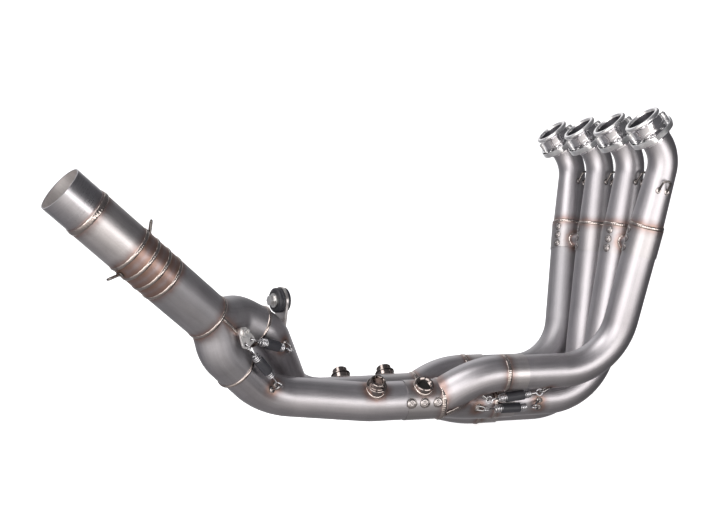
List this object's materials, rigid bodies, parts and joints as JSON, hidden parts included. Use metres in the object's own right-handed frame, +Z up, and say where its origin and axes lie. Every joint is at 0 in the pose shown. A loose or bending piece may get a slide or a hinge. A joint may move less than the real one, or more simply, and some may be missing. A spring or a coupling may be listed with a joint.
{
  "type": "motorcycle exhaust header",
  "caption": "Titanium exhaust header for an inline engine: flanged primaries pair into sprung collectors, then merge into one rising outlet pipe.",
  "frame": {"origin": "middle of the row of port faces", "axes": "+X forward, +Y to the motorcycle's left along the port row, +Z up"},
  "size_m": [0.7744, 0.3333, 0.4107],
  "materials": {
    "titanium_satin": "satin titanium",
    "titanium_weld": "heat-tinted weld",
    "titanium_brushed": "brushed titanium",
    "titanium_polished": "turned and polished",
    "flange_alloy": "machined",
    "spring_steel": "bright wire",
    "fastener_steel": "plated",
    "plug_dark": "dark glossy cap",
    "rubber": "matt"
  },
  "bodies": {
    "right_header": {"port_spigot_3": "titanium_polished", "upper_primary_3": "titanium_satin", "lower_primary_3": "titanium_satin", "port_spigot_4": "titanium_polished", "upper_primary_4": "titanium_satin", "lower_primary_4": "titanium_satin", "balance_tube_right": "titanium_satin", "primary_collars_right": "titanium_brushed", "header_welds_right": "titanium_weld", "header_hooks_right": "spring_steel"},
    "right_mid": {"collector_right": "titanium_satin", "mid_pipe_right": "titanium_satin", "collector_collar_right": "titanium_brushed", "sensor_bungs_right": "titanium_satin", "sensor_plugs_right": "plug_dark", "collector_welds_right": "titanium_weld", "front_springs_right": "spring_steel", "front_spring_sleeves_right": "rubber", "collector_hooks_right": "spring_steel"},
    "rear": {"rear_collector_left": "titanium_satin", "rear_collector_right": "titanium_satin", "link_pipe": "titanium_satin", "lobster_back": "titanium_satin", "upper_link": "titanium_satin", "outlet_stub": "titanium_brushed", "rear_welds": "titanium_weld", "outlet_hooks": "spring_steel", "spring_yoke": "fastener_steel", "yoke_boss": "titanium_satin", "yoke_bolt": "fastener_steel", "rear_spring_left": "spring_steel", "rear_spring_right": "spring_steel", "rear_spring_sleeves": "rubber"},
    "left_mid": {"collector_left": "titanium_satin", "mid_pipe_left": "titanium_satin", "collector_collar_left": "titanium_brushed", "sensor_bungs_left": "titanium_satin", "sensor_plugs_left": "plug_dark", "collector_welds_left": "titanium_weld", "front_springs_left": "spring_steel", "front_spring_sleeves_left": "rubber", "collector_hooks_left": "spring_steel", "hanger_bracket": "titanium_satin", "hanger_grommet": "rubber", "hanger_fasteners": "fastener_steel"},
    "left_header": {"port_spigot_1": "titanium_polished", "upper_primary_1": "titanium_satin", "lower_primary_1": "titanium_satin", "port_spigot_2": "titanium_polished", "upper_primary_2": "titanium_satin", "lower_primary_2": "titanium_satin", "balance_tube_left": "titanium_satin", "primary_collars_left": "titanium_brushed", "header_welds_left": "titanium_weld", "header_hooks_left": "spring_steel"},
    "flange_1": {"port_flange_1": "flange_alloy"},
    "flange_2": {"port_flange_2": "flange_alloy"},
    "flange_3": {"port_flange_3": "flange_alloy"},
    "flange_4": {"port_flange_4": "flange_alloy"}
  },
  "joints": [
    {"name": "right_front_slip", "type": "slide", "parent": "right_header", "child": "right_mid", "axis": [-1, 0, 0], "range_m": [0, 0.006], "stiffness_N_per_m": 16000, "springref_m": -0.012, "deforming": ["front_springs_right"]},
    {"name": "right_rear_slip", "type": "slide", "parent": "right_mid", "child": "rear", "axis": [-0.681, -0.3842, 0.6234], "range_m": [0, 0.006], "stiffness_N_per_m": 16000, "springref_m": -0.012, "deforming": ["rear_spring_right"]},
    {"name": "left_rear_slip", "type": "slide", "parent": "rear", "child": "left_mid", "axis": [0.8582, 0.2661, -0.4391], "range_m": [0, 0.006], "stiffness_N_per_m": 16000, "springref_m": -0.012, "deforming": ["rear_spring_left"]},
    {"name": "left_front_slip", "type": "slide", "parent": "left_mid", "child": "left_header", "axis": [1, 0, 0], "range_m": [0, 0.006], "stiffness_N_per_m": 16000, "springref_m": -0.012, "deforming": ["front_springs_left"]},
    {"name": "flange_1_turn", "type": "hinge", "parent": "left_header", "child": "flange_1", "pos_m": [0.01554, 0.123, -0.0192], "axis": [0.6293, 0, -0.7771], "continuous": true},
    {"name": "flange_2_turn", "type": "hinge", "parent": "left_header", "child": "flange_2", "pos_m": [0.01554, 0.041, -0.0192], "axis": [0.6293, 0, -0.7771], "continuous": true},
    {"name": "flange_3_turn", "type": "hinge", "parent": "right_header", "child": "flange_3", "pos_m": [0.01554, -0.041, -0.0192], "axis": [0.6293, 0, -0.7771], "continuous": true},
    {"name": "flange_4_turn", "type": "hinge", "parent": "right_header", "child": "flange_4", "pos_m": [0.01554, -0.123, -0.0192], "axis": [0.6293, 0, -0.7771], "continuous": true}
  ]
}
